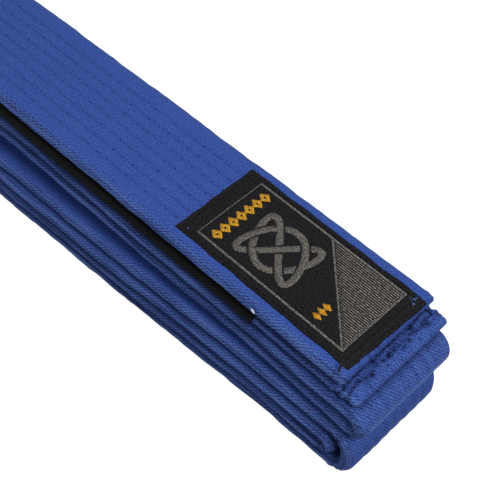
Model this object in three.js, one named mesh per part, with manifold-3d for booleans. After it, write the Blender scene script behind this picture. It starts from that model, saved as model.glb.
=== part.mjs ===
// A martial arts belt, folded in half three times into a bundle of eight layers.
// Millimetres, +Z up. The origin is the centre of the bundle's footprint, on the surface it rests on.
// +X runs along the bundle towards the belt's two free tips, +Y to its far long side.
//
// Layers are numbered from the bottom, 0, to the top, 7. From the label tip the belt runs
// 7 - 0 - 3 - 4 - 5 - 2 - 1 - 6: it turns at the left end from 7 to 0, 4 to 3, 5 to 2 and 6 to 1,
// and at the right end from 0 to 3, 4 to 5 and 2 to 1. The label is on layer 7 and the rank bar on 6.
//
// Every stretch is a hollow cover round a core of two plies. A stretch is a band: its
// centreline is drawn in the X-Z plane, thickened both ways, and extruded across the belt's width.

import * as THREE from "three";
import { mergeVertices } from "three/addons/utils/BufferGeometryUtils.js";
import Module from "manifold-3d";

const wasm = await Module();
wasm.setup();

// ---- Driving dimensions ----

const BELT_WIDTH = 40;
const BELT_THICKNESS = 4.8;
const BUNDLE_LENGTH = 375;
const AIR_GAP = 1.0; // between layers that lie against each other
const FOLD_GAP = 2.0; // inside the tight turns at the right end
const BIG_FOLD_GAP = 15; // inside the last fold, at the left end, where four layers turn round four
const EDGE_ROUND = 1.8; // rounding of the belt's long edges
const OUTER_TURN_SETBACK = 3.2; // how far the lower right turns stand back from the upper one

const COVER_WALL = 0.8;
const CORE_FIT = 0.15; // clearance between the core and the cover
const PLY_SPLIT = 0.2; // clearance between the two plies
const HEM_DEPTH = 8; // solid hem that closes a tip

const LABEL_TIP_X = 176; // end of layer 7
const BAR_TIP_X = 182; // end of layer 6
const LABEL_HINGE_X = 56; // line where the label end lifts
const BAR_HINGE_X = -62; // line where the bar end lifts
const CUT_GAP = 0.4; // clearance between stretches that move apart

const SLEEVE_LEFT_X = -11;
const SLEEVE_RIGHT_X = 141.4;
const SLEEVE_WALL = 0.5;
const SLEEVE_FIT = 0.2;
const SLEEVE_ROW_INSETS = [2.5, 5.5]; // stitch rows, from each end of the sleeve

const LABEL_LENGTH = 69.5;
const LABEL_WIDTH = 32.4;
const LABEL_THICKNESS = 0.7;
const LABEL_INSET = 0.6; // from the tip of the belt
const LABEL_Y = 0.7;
const LABEL_LIFT = 0.1; // clearance above the cover
const LABEL_ROUND = 0.2; // rounding of its edges
const LABEL_STITCH_LIFT = 0.05; // clearance between the label and its stitching
const LABEL_STITCH_INSET = 1.3;
const LABEL_SECOND_ROW = 3.0; // distance of the double row from the label's tip edge

const QUILT_ROWS = 8;
const QUILT_PITCH = 4.3;
const QUILT_FIRST_Y = 12.9;
const QUILT_END_INSET = 2.5;
const QUILT_SINK = 0.05; // depth of the thread below the face
const QUILT_TURN_THINNER = 0.05; // on each side, where a row turns into the next

const THREAD = 0.5; // width of a stitch row
const THREAD_HEIGHT = 0.3;
const THREAD_CLEARANCE = 0.15;
const CROSS_ROW_WIDTH = 34.4; // length of a stitch row that runs across the belt
const BAR_HEM_ROW_INSETS = [4.2, 6.7]; // from the bar tip
const BAR_HEM_ROW_LIFT = 0.1; // clearance above the cover

const TURN_STEPS = 10; // facets in a half turn
const RUN_STEP = 30; // length of a facet along a run
const OVERSHOOT = 1; // how far a cutting shape reaches past what it cuts
const SAME_POINT = 1e-4; // points closer than this are one

// ---- Heights of the layers ----

const PITCH = BELT_THICKNESS + AIR_GAP;
const FOLD_PITCH = BELT_THICKNESS + FOLD_GAP;
const BIG_FOLD_PITCH = BELT_THICKNESS + BIG_FOLD_GAP;
const RIGHT_HEIGHTS = heights([PITCH, FOLD_PITCH, PITCH, PITCH, FOLD_PITCH, PITCH, PITCH]);
const LEFT_HEIGHTS = heights([PITCH, PITCH, PITCH, BIG_FOLD_PITCH, PITCH, PITCH, PITCH]);

const BIG_FOLD_Z = (LEFT_HEIGHTS[3] + LEFT_HEIGHTS[4]) / 2;
const BIG_FOLD_X = -BUNDLE_LENGTH / 2 + BIG_FOLD_Z;
const UPPER_TURN_X = BUNDLE_LENGTH / 2 - BELT_THICKNESS - FOLD_GAP / 2;
const LOWER_TURN_X = UPPER_TURN_X - PITCH - OUTER_TURN_SETBACK;

// Centre heights of the eight layers, from the distances between neighbours.
function heights(pitches) {
  const list = [BELT_THICKNESS / 2];
  for (const pitch of pitches) list.push(list.at(-1) + pitch);
  return list;
}

// Centre height of a layer at x. The upper half rises towards the wide fold at the left end.
function layerHeight(layer, x) {
  const along = (UPPER_TURN_X - x) / (UPPER_TURN_X - BIG_FOLD_X);
  const rise = Math.sin((THREE.MathUtils.clamp(along, 0, 1) * Math.PI) / 2);
  return THREE.MathUtils.lerp(RIGHT_HEIGHTS[layer], LEFT_HEIGHTS[layer], rise);
}

// ---- Centrelines, as lists of points in the X-Z plane ----

// A straight stretch of one layer.
function run(layer, fromX, toX) {
  const steps = Math.max(1, Math.round(Math.abs(toX - fromX) / RUN_STEP));
  return Array.from({ length: steps + 1 }, (_, i) => {
    const x = THREE.MathUtils.lerp(fromX, toX, i / steps);
    return new THREE.Vector2(x, layerHeight(layer, x));
  });
}

// The half turn at the right end that joins a layer to a lower one.
function rightTurn(upper, lower, x) {
  const top = layerHeight(upper, x);
  const bottom = layerHeight(lower, x);
  const arc = new THREE.EllipseCurve(x, (top + bottom) / 2, (top - bottom) / 2, (top - bottom) / 2);
  arc.aStartAngle = Math.PI / 2;
  arc.aEndAngle = -Math.PI / 2;
  arc.aClockwise = true;
  return arc.getPoints(TURN_STEPS).slice(1, -1);
}

// The quarter turn at the left end, from the layer to just short of the hinge plane.
function leftTurn(layer) {
  const radius = Math.abs(LEFT_HEIGHTS[layer] - BIG_FOLD_Z);
  const side = Math.sign(LEFT_HEIGHTS[layer] - BIG_FOLD_Z);
  const sweep = Math.PI / 2 - CUT_GAP / radius;
  const steps = TURN_STEPS / 2;
  return Array.from({ length: steps }, (_, i) => {
    const angle = (sweep * (i + 1)) / steps;
    return new THREE.Vector2(
      BIG_FOLD_X - radius * Math.sin(angle),
      BIG_FOLD_Z + side * radius * Math.cos(angle),
    );
  });
}

// A layer, its right turn and the layer below it, with their left quarter turns.
function foldedPath(upper, lower, turnX) {
  return [
    ...leftTurn(upper).reverse(),
    ...run(upper, BIG_FOLD_X, turnX),
    ...rightTurn(upper, lower, turnX),
    ...run(lower, turnX, BIG_FOLD_X),
    ...leftTurn(lower),
  ];
}

// A layer from its left quarter turn to x.
function rootedPath(layer, toX) {
  return [...leftTurn(layer).reverse(), ...run(layer, BIG_FOLD_X, toX)];
}

// The path with both ends lengthened, or shortened when the amount is negative.
function extended(path, atStart, atEnd) {
  const moved = path.map((point) => point.clone());
  const startDirection = path[0].clone().sub(path[1]).normalize();
  const endDirection = path.at(-1).clone().sub(path.at(-2)).normalize();
  moved[0].addScaledVector(startDirection, atStart);
  moved[moved.length - 1].addScaledVector(endDirection, atEnd);
  return moved;
}

// Direction of the path at each of its points. A curve's last facet leans half a step from the
// curve itself, so an end point takes that half step on from its facet.
function directions(path) {
  const facets = path.slice(1).map((point, i) => point.clone().sub(path[i]).normalize());
  const atEnd = (facet, next = facet) => facet.clone().multiplyScalar(3).sub(next);
  const inside = facets.slice(1).map((facet, i) => facet.clone().add(facets[i]));
  const all = [atEnd(facets[0], facets[1]), ...inside, atEnd(facets.at(-1), facets.at(-2))];
  return all.map((direction) => direction.normalize());
}

// The path moved sideways, to the left of its direction.
function offset(path, distance) {
  return directions(path).map((along, i) => {
    const point = path[i];
    return new THREE.Vector2(point.x - along.y * distance, point.y + along.x * distance);
  });
}

// ---- Solids ----

// A band that fills the path from one offset to another, extruded across the belt's width.
function band(path, { from, to, width, y = 0, round = 0, roundSteps = 2 }) {
  const outline = [...offset(path, from), ...offset(path, to).reverse()];
  const depth = width - 2 * round;
  const geometry = new THREE.ExtrudeGeometry(new THREE.Shape(outline), {
    depth,
    bevelEnabled: round > 0,
    bevelThickness: round,
    bevelSize: round,
    bevelOffset: -round,
    bevelSegments: roundSteps,
  });
  geometry.translate(0, 0, -depth / 2 - y);
  geometry.rotateX(Math.PI / 2);
  return geometry;
}

function toManifold(geometry) {
  const plain = geometry.clone();
  plain.deleteAttribute("normal");
  plain.deleteAttribute("uv");
  const merged = mergeVertices(plain, SAME_POINT);
  return new wasm.Manifold(
    new wasm.Mesh({
      numProp: 3,
      vertProperties: merged.attributes.position.array,
      triVerts: new Uint32Array(merged.index.array),
    }),
  );
}

function toGeometry(manifold) {
  const mesh = manifold.getMesh();
  const geometry = new THREE.BufferGeometry();
  geometry.setAttribute("position", new THREE.BufferAttribute(mesh.vertProperties, 3));
  geometry.setIndex(new THREE.BufferAttribute(mesh.triVerts, 1));
  geometry.computeVertexNormals();
  return geometry;
}

// The hollow cover. An end with a hem is closed; the other ends are open.
function coverSolid(path, endHem) {
  const half = BELT_THICKNESS / 2;
  const outer = band(path, { from: -half, to: half, width: BELT_WIDTH, round: EDGE_ROUND });
  const past = EDGE_ROUND + OVERSHOOT;
  const hollow = band(extended(path, past, endHem ? -HEM_DEPTH : past), {
    from: -half + COVER_WALL,
    to: half - COVER_WALL,
    width: BELT_WIDTH - 2 * COVER_WALL,
    round: EDGE_ROUND - COVER_WALL,
    roundSteps: 1,
  });
  return toManifold(outer).subtract(toManifold(hollow));
}

// One of the two plies of the core. side is 1 for the ply to the left of the path.
function plyGeometry(path, endHem, side) {
  const inner = (side * PLY_SPLIT) / 2;
  const outer = side * (BELT_THICKNESS / 2 - COVER_WALL - CORE_FIT);
  const end = endHem ? HEM_DEPTH + CORE_FIT : CUT_GAP;
  return band(extended(path, -CUT_GAP, -end), {
    from: Math.min(inner, outer),
    to: Math.max(inner, outer),
    width: BELT_WIDTH - 2 * EDGE_ROUND - 2 * CORE_FIT,
  });
}

// A straight stitch row that runs across the belt at x, on a surface at the given offset.
function crossRow(layer, x, surface, width, { y = 0, margin = 0, height = THREAD_HEIGHT } = {}) {
  const half = THREAD / 2 + margin;
  return band(run(layer, x - half, x + half), {
    from: surface - margin,
    to: surface + height + margin,
    width: width + 2 * margin,
    y,
  });
}

// The quilting thread of one stretch of layer 7: rows along the belt that turn back at their ends.
// The turns are a little thinner than the rows, so that no two of their faces lie in one plane.
function quilting(fromX, toX, margin = 0) {
  const surface = BELT_THICKNESS / 2 - THREAD_HEIGHT - QUILT_SINK;
  const rowPath = run(7, fromX - margin, toX + margin);
  const rowShape = { from: surface - margin, to: surface + THREAD_HEIGHT + margin };
  const turnShape = { margin, height: THREAD_HEIGHT - 2 * QUILT_TURN_THINNER };
  const parts = [];
  for (let row = 0; row < QUILT_ROWS; row++) {
    const y = QUILT_FIRST_Y - row * QUILT_PITCH;
    parts.push(band(rowPath, { ...rowShape, width: THREAD + 2 * margin, y }));
    if (row === QUILT_ROWS - 1) break;
    const turnX = row % 2 ? fromX + THREAD : toX - THREAD;
    const middle = { ...turnShape, y: y - QUILT_PITCH / 2 };
    parts.push(crossRow(7, turnX, surface + QUILT_TURN_THINNER, QUILT_PITCH, middle));
  }
  return parts.map(toManifold).reduce((joined, part) => joined.add(part));
}

// ---- Materials ----

function cotton(color, roughness = 0.9) {
  return new THREE.MeshStandardMaterial({ color, roughness, metalness: 0 });
}

const coverBlue = () => cotton(0x364e94, 0.85);
const coreWhite = () => cotton(0xd9d5c8, 0.95);
const barBlack = () => cotton(0x1c1c22, 0.85);
const labelBlack = () => cotton(0x202024, 0.7);
const threadBlue = () => cotton(0x2c4284, 0.7);
const threadBlack = () => cotton(0x141418, 0.7);

// ---- Sub-parts ----

function piece(name, geometry, material) {
  const mesh = new THREE.Mesh(geometry, material);
  mesh.name = name;
  return mesh;
}

// A cover and its two plies. grooves, if given, is cut from the cover to sink its threads.
function stretch(name, path, { endHem = false, grooves = null } = {}) {
  const cover = coverSolid(path, endHem);
  const group = new THREE.Group();
  group.add(
    piece(`${name}_cover`, toGeometry(grooves ? cover.subtract(grooves) : cover), coverBlue()),
    piece(`${name}_core_ply_a`, plyGeometry(path, endHem, 1), coreWhite()),
    piece(`${name}_core_ply_b`, plyGeometry(path, endHem, -1), coreWhite()),
  );
  return group;
}

// A stretch of layer 7 with its quilting thread, sunk in grooves.
function quiltedStretch(name, path, fromX, toX, options = {}) {
  const group = stretch(name, path, {
    ...options,
    grooves: quilting(fromX, toX, THREAD_CLEARANCE),
  });
  group.add(piece(`${name}_quilting_thread`, toGeometry(quilting(fromX, toX)), threadBlue()));
  return group;
}

// The rank bar: a sleeve round layer 6 with stitch rows sunk across its top at both ends.
function rankBar() {
  const half = BELT_THICKNESS / 2 + SLEEVE_FIT;
  const width = BELT_WIDTH + 2 * SLEEVE_FIT;
  const path = run(6, SLEEVE_LEFT_X, SLEEVE_RIGHT_X);
  const outer = band(path, {
    from: -half - SLEEVE_WALL,
    to: half + SLEEVE_WALL,
    width: width + 2 * SLEEVE_WALL,
    round: EDGE_ROUND,
  });
  const past = EDGE_ROUND + OVERSHOOT;
  const hollow = band(extended(path, past, past), { from: -half, to: half, width, round: EDGE_ROUND });
  let sleeve = toManifold(outer).subtract(toManifold(hollow));

  const surface = half + SLEEVE_WALL - THREAD_HEIGHT;
  const group = new THREE.Group();
  SLEEVE_ROW_INSETS.forEach((inset, i) => {
    const ends = { left: SLEEVE_LEFT_X + inset, right: SLEEVE_RIGHT_X - inset };
    for (const [end, x] of Object.entries(ends)) {
      const groove = crossRow(6, x, surface, CROSS_ROW_WIDTH, { margin: THREAD_CLEARANCE });
      sleeve = sleeve.subtract(toManifold(groove));
      const thread = crossRow(6, x, surface, CROSS_ROW_WIDTH);
      group.add(piece(`rank_bar_${end}_stitch_row_${i + 1}`, thread, threadBlack()));
    }
  });
  group.add(piece("rank_bar_sleeve", toGeometry(sleeve), barBlack()));
  return group;
}

// Two stitch rows that close the bar tip's hem.
function barTipHem() {
  const group = new THREE.Group();
  BAR_HEM_ROW_INSETS.forEach((inset, i) => {
    const surface = BELT_THICKNESS / 2 + BAR_HEM_ROW_LIFT;
    const row = crossRow(6, BAR_TIP_X - inset, surface, CROSS_ROW_WIDTH);
    group.add(piece(`bar_tip_hem_stitch_row_${i + 1}`, row, threadBlue()));
  });
  return group;
}

// The woven label, laid on layer 7 at its tip.
function wovenLabel() {
  const right = LABEL_TIP_X - LABEL_INSET;
  const bottom = BELT_THICKNESS / 2 + LABEL_LIFT;
  const geometry = band(run(7, right - LABEL_LENGTH, right), {
    from: bottom,
    to: bottom + LABEL_THICKNESS,
    width: LABEL_WIDTH,
    y: LABEL_Y,
    round: LABEL_ROUND,
    roundSteps: 1,
  });
  return piece("woven_label", geometry, labelBlack());
}

// The stitching that holds the label: a closed line round its border and a second row at the tip.
function labelStitching() {
  const surface = BELT_THICKNESS / 2 + LABEL_LIFT + LABEL_THICKNESS + LABEL_STITCH_LIFT;
  const right = LABEL_TIP_X - LABEL_INSET - LABEL_STITCH_INSET;
  const left = right - LABEL_LENGTH + 2 * LABEL_STITCH_INSET;
  const width = LABEL_WIDTH - 2 * LABEL_STITCH_INSET;
  const height = { from: surface, to: surface + THREAD_HEIGHT, y: LABEL_Y };
  const inside = { from: surface - OVERSHOOT, to: surface + OVERSHOOT, y: LABEL_Y };
  const whole = band(run(7, left, right), { ...height, width });
  const hole = band(run(7, left + THREAD, right - THREAD), { ...inside, width: width - 2 * THREAD });
  const secondX = LABEL_TIP_X - LABEL_INSET - LABEL_SECOND_ROW;
  const second = crossRow(7, secondX, surface, width - THREAD, { y: LABEL_Y });
  const thread = toManifold(whole).subtract(toManifold(hole)).add(toManifold(second));
  return piece("label_stitching", toGeometry(thread), threadBlack());
}

// ---- The four bodies ----

function lowerHalf() {
  const group = new THREE.Group();
  group.name = "lower_half";
  group.add(
    stretch("lower_outer_fold", foldedPath(3, 0, LOWER_TURN_X)),
    stretch("lower_inner_fold", foldedPath(2, 1, LOWER_TURN_X)),
  );
  return group;
}

function upperHalf() {
  const cutX = BAR_HINGE_X - CUT_GAP / 2;
  const group = new THREE.Group();
  group.name = "upper_half";
  group.add(
    stretch("upper_fold", foldedPath(5, 4, UPPER_TURN_X)),
    stretch("bar_run", rootedPath(6, cutX)),
    quiltedStretch("label_run", rootedPath(7, cutX), BIG_FOLD_X, cutX - QUILT_END_INSET),
  );
  return group;
}

function barEnd() {
  const leftX = BAR_HINGE_X + CUT_GAP / 2;
  const rightX = LABEL_HINGE_X - CUT_GAP / 2;
  const group = new THREE.Group();
  group.name = "bar_end";
  group.add(
    stretch("bar_end", run(6, leftX, BAR_TIP_X), { endHem: true }),
    quiltedStretch("middle", run(7, leftX, rightX), leftX + QUILT_END_INSET, rightX - QUILT_END_INSET),
    rankBar(),
    barTipHem(),
  );
  return group;
}

function labelEnd() {
  const leftX = LABEL_HINGE_X + CUT_GAP / 2;
  const group = new THREE.Group();
  group.name = "label_end";
  group.add(
    quiltedStretch(
      "label_end",
      run(7, leftX, LABEL_TIP_X),
      leftX + QUILT_END_INSET,
      LABEL_TIP_X - QUILT_END_INSET,
      { endHem: true },
    ),
    wovenLabel(),
    labelStitching(),
  );
  return group;
}

const belt = new THREE.Group();
belt.name = "martial_arts_belt";
belt.add(lowerHalf(), upperHalf(), barEnd(), labelEnd());

export default belt;
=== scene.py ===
# A folded martial arts belt: quilted blue cotton twill, a black rank bar and a woven label.
# Sizes are in millimetres in the CAD part's frame; meshes are written in metres.
# The belt is one long strip. Its centreline is drawn once, from the label tip to the bar tip,
# and cut into the pieces that ride on, or bend between, the CAD bodies.
# Cloth coordinates are millimetres along the cloth (s) and round the belt's outline (q).

import math

import bpy
import numpy as np
from mathutils import Matrix, Vector


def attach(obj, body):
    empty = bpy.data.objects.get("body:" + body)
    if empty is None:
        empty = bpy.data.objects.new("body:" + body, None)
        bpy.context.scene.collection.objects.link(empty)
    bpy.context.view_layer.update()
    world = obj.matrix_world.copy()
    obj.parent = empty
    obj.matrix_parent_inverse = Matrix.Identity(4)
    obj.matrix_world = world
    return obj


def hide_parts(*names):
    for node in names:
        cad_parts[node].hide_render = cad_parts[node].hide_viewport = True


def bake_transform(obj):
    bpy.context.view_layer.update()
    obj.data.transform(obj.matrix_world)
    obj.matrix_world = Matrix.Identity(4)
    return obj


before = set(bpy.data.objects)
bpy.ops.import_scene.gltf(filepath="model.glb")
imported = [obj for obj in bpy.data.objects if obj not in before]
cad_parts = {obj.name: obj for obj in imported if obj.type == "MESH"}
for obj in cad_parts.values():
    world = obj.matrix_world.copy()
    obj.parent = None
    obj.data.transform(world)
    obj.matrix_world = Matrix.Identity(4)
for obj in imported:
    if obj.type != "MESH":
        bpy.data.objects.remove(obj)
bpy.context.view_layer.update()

MM = 0.001
TAU = 2 * math.pi

# ---- The belt ----

BELT_WIDTH = 40.6
BELT_THICKNESS = 5.1
EDGE_REACH = 3.0
EDGE_PINCH = 1.35
FLAT_HALF = BELT_WIDTH / 2 - EDGE_REACH

RIGHT_PITCHES = [5.8, 6.8, 5.8, 5.8, 6.8, 5.8, 5.8]
LEFT_PITCHES = [5.8, 5.8, 5.8, 19.8, 5.8, 5.8, 5.8]
LOWEST_Z = 2.4
BIG_FOLD_X = -157.8
BIG_FOLD_Z = 29.7
RIGHT_END_X = 181.7

LABEL_TIP_X = 176.3
TIP_SLANT = 0.006
BAR_TIP_X = 181.5
UPPER_TURN_X = 179.1
LOWER_TURN_X = 172.9
INNER_TURN_X = 170.6
UPPER_BULGE = 0.8

# How far each layer, from the bottom, lies to the side of the middle line.
RIGHT_SHIFTS = [-1.2, -1.8, -1.9, -0.9, 0.2, -0.1, 1.2, 0.9]
LEFT_SHIFTS = [-4.8, -5.2, -5.4, -3.6, -1.0, -0.8, -0.2, 0.0]
SHIFT_FROM_X = 175.0
SHIFT_TO_X = 20.0

PATH_STEP = 0.5
SMOOTH_LENGTH = 4.0
# The long edges wander: amount, seed, wavelength.
SWAY = [(0.22, 11, 70), (0.09, 12, 17)]

# ---- Stitching of the belt ----

ROW_SPACING = 4.3
FIRST_ROW = 12.6
ROWS = 7
STITCH_PITCH = 4.65
ROW_LAG = 0.37
CHANNEL_DEPTH = 0.05
DIMPLE_DEPTH = 0.14
PUFF = 0.1
SEAM_PLACES = [2.7, 3.5, 4.3]
SEAM_PITCH = 2.3
SEAM_RISE = 1.7
SEAM_RISE_AT = 142.0
SEAM_RISE_LENGTH = 24.0
HEM_ROWS = [4.2, 6.7]
HEM_PITCH = 2.4

# ---- Unevenness, wear and painted light and shade of the cloth ----

LONG_WAVE = 0.1
SHORT_WAVE = 0.05
CRUSH = 0.4
TIP_CRUSH = 0.3
# Painted shade in the hollows of crushed cloth, and pale specks of wear on it.
CRUSH_SHADE, TIP_SHADE = 0.5, 0.64
CRUSH_LIGHT, TIP_LIGHT = 0.7, 0.4
# The upper fold gets a painted highlight along a line, this many radians into its turn: its fuzz catching
# the light.
SHEEN_LINE_TURN = 1.3
SHEEN_LINE_WIDTH = 1.3
SHEEN_LINE = 0.8
TAUT_FOLD = 0.62
TAUT_FLAP = 0.8
HEM_PUCKER = 0.5
HEM_WANDER = 0.45
HEM_GROOVE, HEM_STITCH_GROOVE = 0.25, 0.45
# Painted shade along the hem's stitch rows.
HEM_SHADE, HEM_STITCH_SHADE = 0.25, 0.75

# ---- Rank bar, label ----

SLEEVE_FROM_X = 141.4
SLEEVE_TO_X = -11.0
SLEEVE_INNER = 0.12
SLEEVE_OUTER = 0.62
SLEEVE_SLANT = -0.2

LABEL_X = 112.5
LABEL_Y = -12.5
LABEL_U = (-6.5, 62.9)
LABEL_V = (-3.1, 29.4)
LABEL_LIFT = 2.45
LABEL_THICKNESS = 0.65
LABEL_SKEW = 0.75
LABEL_PICK = 0.37
FRAME_U = 57.8
FRAME_V = 27.0
FRAME_LINE = 0.34
DIAGONAL_U = 29.5
DIAGONAL_LINE = 0.6
HATCH_GAP = 0.5
KNOT_CENTRE = (21.5, 12.5)
KNOT_SIZE = (10.6, 8.2)
KNOT_STROKE = 2.2
KNOT_PHASE = 0.6
LOZENGES = 7
LOZENGE_U = 4.7
LOZENGE_V = 3.5
LOZENGE_PITCH = 3.35
LOZENGE_REACH = (2.35, 1.75)
LOZENGE_HOLE = 0.24
PIPS = 3
PIP_U = 45.2
PIP_V = 3.4
PIP_REACH = 1.9
PIP_PITCH = 2.1
GROUND, GREY, YELLOW, HATCH, LINE = range(5)


# ---- Smooth, seeded unevenness ----


def wobble(position, seed, wavelength, octaves=4):
    """A smooth sum of sines between about -1 and 1."""
    rng = np.random.default_rng(seed)
    total = np.zeros_like(np.asarray(position, float))
    for _ in range(octaves):
        stretch = rng.uniform(0.6, 1.9)
        total = total + np.sin(TAU * position * stretch / wavelength + rng.uniform(0, TAU))
    return total / octaves ** 0.5 / 1.4


def wobble2(a, b, seed, wavelength, octaves=5):
    """The same over a plane, as waves that run in different directions."""
    rng = np.random.default_rng(seed)
    total = 0
    for _ in range(octaves):
        turn = rng.uniform(0, TAU)
        stretch = rng.uniform(0.6, 1.9)
        along = a * math.cos(turn) + b * math.sin(turn)
        total = total + np.sin(TAU * along * stretch / wavelength + rng.uniform(0, TAU))
    return total / octaves ** 0.5 / 1.4


def smoothstep(value, low, high):
    t = np.clip((value - low) / (high - low), 0, 1)
    return t * t * (3 - 2 * t)


def bell(value, width):
    return np.exp(-((value / width) ** 2))


# ---- Centreline ----

RIGHT_Z = np.cumsum([LOWEST_Z] + RIGHT_PITCHES)
LEFT_Z = np.cumsum([LOWEST_Z] + LEFT_PITCHES)


def layer_z(layer, x):
    along = np.clip((RIGHT_END_X - x) / (RIGHT_END_X - BIG_FOLD_X), 0, 1)
    return RIGHT_Z[layer] + (LEFT_Z[layer] - RIGHT_Z[layer]) * np.sin(along * math.pi / 2)


def layer_shift(layer, x):
    share = smoothstep(SHIFT_FROM_X - x, 0, SHIFT_FROM_X - SHIFT_TO_X)
    return RIGHT_SHIFTS[layer] + (LEFT_SHIFTS[layer] - RIGHT_SHIFTS[layer]) * share


def layer_run(layer, from_x, to_x):
    count = max(2, int(abs(to_x - from_x) / PATH_STEP))
    x = np.linspace(from_x, to_x, count)
    z = layer_z(layer, x)
    if layer in (4, 5):
        side = 1 if layer == 5 else -1
        z = z + side * UPPER_BULGE * smoothstep(x, UPPER_TURN_X - 16, UPPER_TURN_X)
    return np.column_stack([x, z, layer_shift(layer, x)])


def half_turn(x, first, second, reach, squareness):
    """A half turn from layer `first` to layer `second`. reach is its depth along X, with a sign."""
    start = layer_run(first, x, x + 0.01)[0]
    end = layer_run(second, x, x + 0.01)[0]
    radius = (end[1] - start[1]) / 2
    count = int(math.pi * abs(radius) / PATH_STEP)
    angle = np.linspace(-math.pi / 2, math.pi / 2, count + 2)[1:-1]
    out = np.abs(np.cos(angle)) ** (2 / squareness)
    up = np.sign(angle) * np.abs(np.sin(angle)) ** (2 / squareness)
    share = smoothstep(angle, -math.pi / 2, math.pi / 2)
    return np.column_stack([
        x + reach * out,
        (start[1] + end[1]) / 2 + radius * up,
        start[2] + (end[2] - start[2]) * share,
    ])


def belt_centreline():
    """Points (x, z, sideways shift) along the whole belt, and where each layer's run lies in them."""
    left, up, low, inner = BIG_FOLD_X, UPPER_TURN_X, LOWER_TURN_X, INNER_TURN_X
    runs = [(7, LABEL_TIP_X, left), (0, left, low), (3, low, left), (4, left, up),
            (5, up, left), (2, left, inner), (1, inner, left), (6, left, BAR_TIP_X)]
    turns = [(left, 7, 0, -27.3, 2.0), (low, 0, 3, 7.8, 2.5), (left, 3, 4, -9.9, 2.0),
             (up, 4, 5, 4.3, 2.1), (left, 5, 2, -15.7, 2.0), (inner, 2, 1, 3.4, 2.0),
             (left, 1, 6, -21.5, 2.0)]
    parts, spans, count = [], {}, 0
    for i, (layer, from_x, to_x) in enumerate(runs):
        part = layer_run(layer, from_x, to_x)
        spans[layer] = (count, count + len(part))
        parts.append(part)
        count += len(part)
        if i < len(turns):
            part = half_turn(*turns[i])
            parts.append(part)
            count += len(part)
    return np.vstack(parts), spans


def smoothed(path):
    half = int(SMOOTH_LENGTH / PATH_STEP / 2)
    window = np.hanning(2 * half + 3)[1:-1]
    window /= window.sum()
    ends = [2 * path[0] - path[half:0:-1], path, 2 * path[-1] - path[-2:-half - 2:-1]]
    padded = np.vstack(ends)
    return np.column_stack([np.convolve(padded[:, i], window, "valid") for i in range(3)])


def turned_angle(path):
    """How far the belt has turned, in either sense, up to each point."""
    heading = np.unwrap(np.arctan2(np.gradient(path[:, 1]), np.gradient(path[:, 0])))
    return np.concatenate([[0], np.cumsum(np.abs(np.diff(heading)))])


RAW_PATH, RUN_SPANS = belt_centreline()
PATH = smoothed(RAW_PATH)
PATH_LENGTH = np.concatenate([[0], np.cumsum(np.hypot(*np.diff(PATH[:, :2], axis=0).T))])
BELT_LENGTH = PATH_LENGTH[-1]
TURNED = turned_angle(PATH)
CLOTH_LENGTH = PATH_LENGTH + TURNED * BELT_THICKNESS / 2


def distance_at(layer, x):
    """Distance along the belt of a place on one layer's run."""
    low, high = RUN_SPANS[layer]
    xs, lengths = PATH[low:high, 0], PATH_LENGTH[low:high]
    if xs[0] > xs[-1]:
        xs, lengths = xs[::-1], lengths[::-1]
    return float(np.interp(x, xs, lengths))


def cloth_at(distance):
    """Length of cloth up to a distance along the belt. The cloth is as long as the outside of a fold."""
    return np.interp(distance, PATH_LENGTH, CLOTH_LENGTH)


def bend_at(distance):
    """How sharply the belt turns, from 0 on a straight run to about 1 in a tight fold."""
    reach = 1.5
    ahead = np.interp(distance + reach, PATH_LENGTH, TURNED)
    behind = np.interp(distance - reach, PATH_LENGTH, TURNED)
    return np.clip((ahead - behind) / 0.6, 0, 1)


def centre_at(distance):
    """Position, facing direction of the outer face, and sideways shift, along the belt."""
    x, z, shift = (np.interp(distance, PATH_LENGTH, PATH[:, i]) for i in range(3))
    step = 0.6
    ahead = np.clip(distance + step, 0, BELT_LENGTH)
    behind = np.clip(distance - step, 0, BELT_LENGTH)
    dx = np.interp(ahead, PATH_LENGTH, PATH[:, 0]) - np.interp(behind, PATH_LENGTH, PATH[:, 0])
    dz = np.interp(ahead, PATH_LENGTH, PATH[:, 1]) - np.interp(behind, PATH_LENGTH, PATH[:, 1])
    size = np.hypot(dx, dz)
    for amount, seed, wavelength in SWAY:
        shift = shift + amount * wobble(distance, seed, wavelength)
    return x, z, shift, dz / size, -dx / size


# ---- Cross-section ----

FACE, NEAR_EDGE, FAR_EDGE = 0, 1, 2


def edge_arc(count):
    """The rounded edge from the outer face to the inner: reach, height, two normals, length."""
    a = np.linspace(0, math.pi, count)
    reach = EDGE_REACH * np.sin(a)
    up = BELT_THICKNESS / 2 * np.sign(np.cos(a)) * np.abs(np.cos(a)) ** EDGE_PINCH
    length = np.concatenate([[0], np.cumsum(np.hypot(np.diff(reach), np.diff(up)))])
    sideways, upward = -np.gradient(up), np.gradient(reach)
    size = np.hypot(sideways, upward)
    return reach, up, sideways / size, upward / size, length


EDGE_LENGTH = edge_arc(200)[4][-1]
GIRTH = 4 * FLAT_HALF + 2 * EDGE_LENGTH
NEAR_EDGE_MIDDLE = -FLAT_HALF - EDGE_LENGTH / 2


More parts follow.
